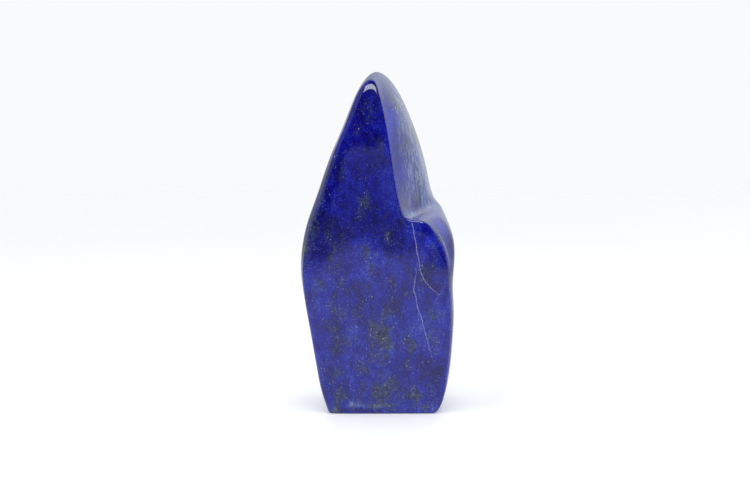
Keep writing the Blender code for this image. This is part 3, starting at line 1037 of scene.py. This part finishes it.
# From 37 to 138 mm left of the middle the net closes to cloth, down to 24 mm above the hem.
left_close = add(
    cloth_tree,
    "ShaderNodeMapRange",
    {"Value": cloth_height.outputs["X"], "From Min": -0.037, "From Max": -0.138},
)
above_hem = add(cloth_tree, "ShaderNodeMapRange", {"Value": hem, "From Min": 0.010, "From Max": 0.024})
left_density = add(cloth_tree, "ShaderNodeMath", {0: left_close, 1: above_hem}, operation="MULTIPLY")
density = add(cloth_tree, "ShaderNodeMath", {0: net_density, 1: left_density}, operation="MAXIMUM")
# Far to the left there is no cloth above 125 mm, so that the left rim of the stone mirrors the pale dome.
left_end = add(
    cloth_tree,
    "ShaderNodeMapRange",
    {"Value": cloth_height.outputs["X"], "From Min": -0.315, "From Max": -0.260},
)
left_top = add(
    cloth_tree,
    "ShaderNodeMapRange",
    {"Value": cloth_height.outputs["Z"], "From Min": 0.125, "From Max": 0.105},
)
left_cloth = add(cloth_tree, "ShaderNodeMath", {0: left_end, 1: left_top}, operation="MAXIMUM")
cloth_density = add(cloth_tree, "ShaderNodeMath", {0: density, 1: left_cloth}, operation="MULTIPLY")
cloth_tree.links.new(cloth_density.outputs["Value"], cloth_shader.inputs["Alpha"])
flag.data.materials.append(cloth)
print("cloth nodes:", len(cloth_tree.nodes))

# %% [markdown]
# A small grey card stands close behind the stone on its right. It keeps the window out of the mirror image
# below the shoulder, where the side of the stone is dark in the photograph. It thins out upwards and towards
# its two upright edges, so that its own mirror image has soft edges.

# %% The grey card
CARD_ENDS = np.array([[59.0, 17.0], [33.0, 38.0]])  # x and y of its two upright edges, in mm
CARD_TOP = 95.0
CARD_FULL_BELOW = 55.0
card_x, card_y = np.repeat(CARD_ENDS, 2, axis=0).T
card_corners = as_points(card_x, card_y, [0.0, CARD_TOP, CARD_TOP, 0.0])
card_mesh = bpy.data.meshes.new("grey card")
card_mesh.from_pydata(card_corners * MM, [], [(0, 1, 2, 3)])
card_board, card_shader, card_tree = new_material("matt grey card")
card_shader.inputs["Base Color"].default_value = linear("#B4B6BC")
card_shader.inputs["Roughness"].default_value = 1.0
card_shader.inputs["Specular IOR Level"].default_value = 0.0
card_place = add(card_tree, "ShaderNodeTexCoord", {})
card_height = add(card_tree, "ShaderNodeSeparateXYZ", {"Vector": card_place.outputs["Object"]})
card_height_density = add(
    card_tree,
    "ShaderNodeMapRange",
    {"Value": card_height.outputs["Z"], "From Min": CARD_TOP * MM, "From Max": CARD_FULL_BELOW * MM},
)
card_side = add(
    card_tree,
    "ShaderNodeMath",
    {0: card_height.outputs["X"], 1: CARD_ENDS[:, 0].mean() * MM},
    operation="SUBTRACT",
)
card_from_middle = add(card_tree, "ShaderNodeMath", {0: card_side}, operation="ABSOLUTE")
card_density = add(
    card_tree,
    "ShaderNodeMapRange",
    {"Value": card_from_middle, "From Min": 0.013, "From Max": 0.005, "To Max": card_height_density},
    interpolation_type="SMOOTHSTEP",
)
card_tree.links.new(card_density.outputs["Result"], card_shader.inputs["Alpha"])
card_mesh.materials.append(card_board)
card = put("grey_card", card_mesh)
card.visible_camera = False
card.visible_diffuse = False
card.visible_shadow = False
print("card:", np.linalg.norm(CARD_ENDS[0] - CARD_ENDS[1]).round(1), "mm wide")

# %% [markdown]
# Two lamps hang above the stone, in front of it. The softbox brightens the paper and is left out of mirror
# images. The strip light is for the mirror images alone: it is the small white glint under the tip and the
# pale line along the lip of the step.

# %% The softbox and the strip light


def hang(name, place, aim, size, watts):
    """A rectangular lamp that shines from its place towards its aim. These and its size are in mm."""
    lamp = bpy.data.lights.new(name, "AREA")
    lamp.shape = "RECTANGLE"
    lamp.size, lamp.size_y = np.array(size) * MM
    lamp.energy = watts
    holder = put(name, lamp)
    holder.location = np.array(place) * MM
    holder.rotation_euler = Vector(np.subtract(place, aim)).to_track_quat("Z", "Y").to_euler()
    print(name, "hangs at", place, "and has", watts, "W")
    return holder


softbox = hang("softbox", (-110.0, -400.0, 600.0), (0.0, 0.0, 60.0), (1200.0, 800.0), 2.2)
softbox.visible_glossy = False
strip_light = hang("strip_light", (75.0, -259.0, 643.0), (75.0, -15.0, 95.0), (690.0, 240.0), 4.6)
strip_light.visible_camera = False
strip_light.visible_diffuse = False

# %% [markdown]
# ## The camera
#
# The camera stands half a metre in front of the stone, 12 cm above the table, and looks down by about 7.4
# degrees. Its lens is a long one, as for a portrait, so the stone hardly tapers towards the back.

# %% The camera
CAMERA_PLACE = (-1.01, -537.0, 119.5)
LOOKS_DOWN_DEGREES = 7.4318
LENS_MM = 82.14
view = bpy.data.cameras.new("photo camera")
view.lens = LENS_MM
view.sensor_width = 36.0
view.clip_start = 0.01
camera = put("photo_camera", view)
camera.location = np.array(CAMERA_PLACE) * MM
camera.rotation_euler = (np.radians(90.0 - LOOKS_DOWN_DEGREES), 0.0, 0.0)
bpy.context.scene.camera = camera
# The colours are meant as they are, so no film curve is laid over them.
bpy.context.scene.view_settings.view_transform = "Standard"
print("camera at", CAMERA_PLACE)
